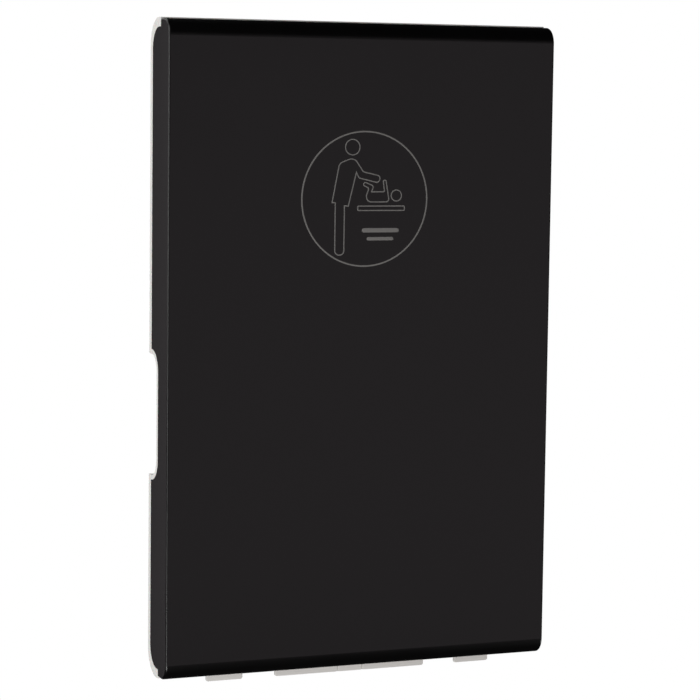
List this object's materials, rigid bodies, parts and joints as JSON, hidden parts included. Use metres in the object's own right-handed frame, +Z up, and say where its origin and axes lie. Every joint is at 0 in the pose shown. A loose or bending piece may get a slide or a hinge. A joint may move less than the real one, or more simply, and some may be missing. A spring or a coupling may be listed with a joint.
{
  "type": "wall-mounted changing table",
  "caption": "Vertical fold-down baby changing table: black steel cover, white bed with strap, hinged along its bottom edge to a wall panel with a liner box.",
  "frame": {"origin": "centre of the four wall bolts, on the wall plane", "axes": "+Z up, +Y into the wall, +X to the right of somebody who faces the table; the bed is folded shut"},
  "size_m": [0.549, 0.112, 0.8844],
  "materials": {
    "black_coating": "satin black powder coat",
    "white_moulding": "fine-grained white polypropylene",
    "hinge_grey": "satin warm grey nylon",
    "grey_plastic": "fine-grained grey plastic",
    "black_plastic": "spark-grained black acetal",
    "red_plastic": "satin red plastic",
    "nylon": "natural nylon",
    "zinc_steel": "zinc plated",
    "bright_steel": "bright stainless",
    "black_paint": "gloss black",
    "black_rubber": "matte",
    "webbing": "woven polypropylene webbing",
    "paper": "folded crepe paper"
  },
  "bodies": {
    "wall_unit": {"wall_shell": "white_moulding", "wall_rail_left": "zinc_steel", "wall_rail_right": "zinc_steel", "wall_crossbar_bottom": "zinc_steel", "wall_crossbar_top": "zinc_steel", "shell_standoffs": "grey_plastic", "shell_screws": "bright_steel", "shell_bumpers": "black_rubber", "liner_box": "white_moulding", "liner_stack": "paper", "bag_hook_left": "bright_steel", "bag_hook_right": "bright_steel", "hook_screws": "bright_steel", "rail_screws": "bright_steel", "liner_screws": "bright_steel", "block_screws": "bright_steel", "anchor_screws": "bright_steel", "liner_box_bars": "zinc_steel", "hinge_block_left": "hinge_grey", "hinge_block_right": "hinge_grey", "hinge_block_middle_left": "hinge_grey", "hinge_block_middle_right": "hinge_grey", "hinge_pin": "bright_steel", "pin_cap_left": "hinge_grey", "pin_cap_right": "hinge_grey", "spring_anchor_left": "zinc_steel", "spring_anchor_right": "zinc_steel"},
    "bed": {"front_cover": "black_coating", "bed_tray": "white_moulding", "bed_cross_tube": "zinc_steel", "bed_rail_left": "zinc_steel", "bed_rail_right": "zinc_steel", "bed_knuckle_middle": "hinge_grey", "hinge_leaf_left": "zinc_steel", "hinge_leaf_right": "zinc_steel", "hinge_bush_left": "nylon", "hinge_bush_right": "nylon", "hinge_bush_middle": "nylon", "leaf_screws": "bright_steel", "rim_screws": "bright_steel", "gas_cylinder_left": "black_paint", "gas_cylinder_right": "black_paint", "spring_mount_left": "zinc_steel", "spring_mount_right": "zinc_steel", "spring_nut_left": "bright_steel", "spring_nut_right": "bright_steel", "strap_left": "webbing", "strap_right": "webbing", "strap_clamps": "grey_plastic", "clamp_screws": "bright_steel", "buckle_body": "black_plastic", "buckle_tongue": "black_plastic", "strap_adjuster": "black_plastic"},
    "gas_rod_l": {"gas_rod_left": "bright_steel"},
    "gas_rod_r": {"gas_rod_right": "bright_steel"},
    "liner_cover": {"liner_cover": "white_moulding"},
    "buckle_button": {"buckle_button": "red_plastic"}
  },
  "joints": [
    {"name": "bed_fold", "type": "hinge", "parent": "wall_unit", "child": "bed", "pos_m": [0, -0.066, -0.433], "axis": [1, 0, 0], "range_deg": [0, 90]},
    {"name": "gas_rod_left_slide", "type": "slide", "parent": "bed", "child": "gas_rod_l", "axis": [0, 0, -1], "range_m": [0, 0.0285]},
    {"name": "gas_rod_right_slide", "type": "slide", "parent": "bed", "child": "gas_rod_r", "axis": [0, 0, -1], "range_m": [0, 0.0285]},
    {"name": "liner_cover_slide", "type": "slide", "parent": "wall_unit", "child": "liner_cover", "axis": [0, 0, 1], "range_m": [0, 0.02]},
    {"name": "buckle_button_press", "type": "slide", "parent": "bed", "child": "buckle_button", "axis": [0, -1, 0], "range_m": [0, 0.0025], "stiffness_N_per_m": 900, "springref_m": -0.002}
  ],
  "couplings": [
    {"joint": "gas_rod_left_slide", "follows": "bed_fold", "m_per_rad": 0.017825},
    {"joint": "gas_rod_right_slide", "follows": "bed_fold", "m_per_rad": 0.017825}
  ]
}
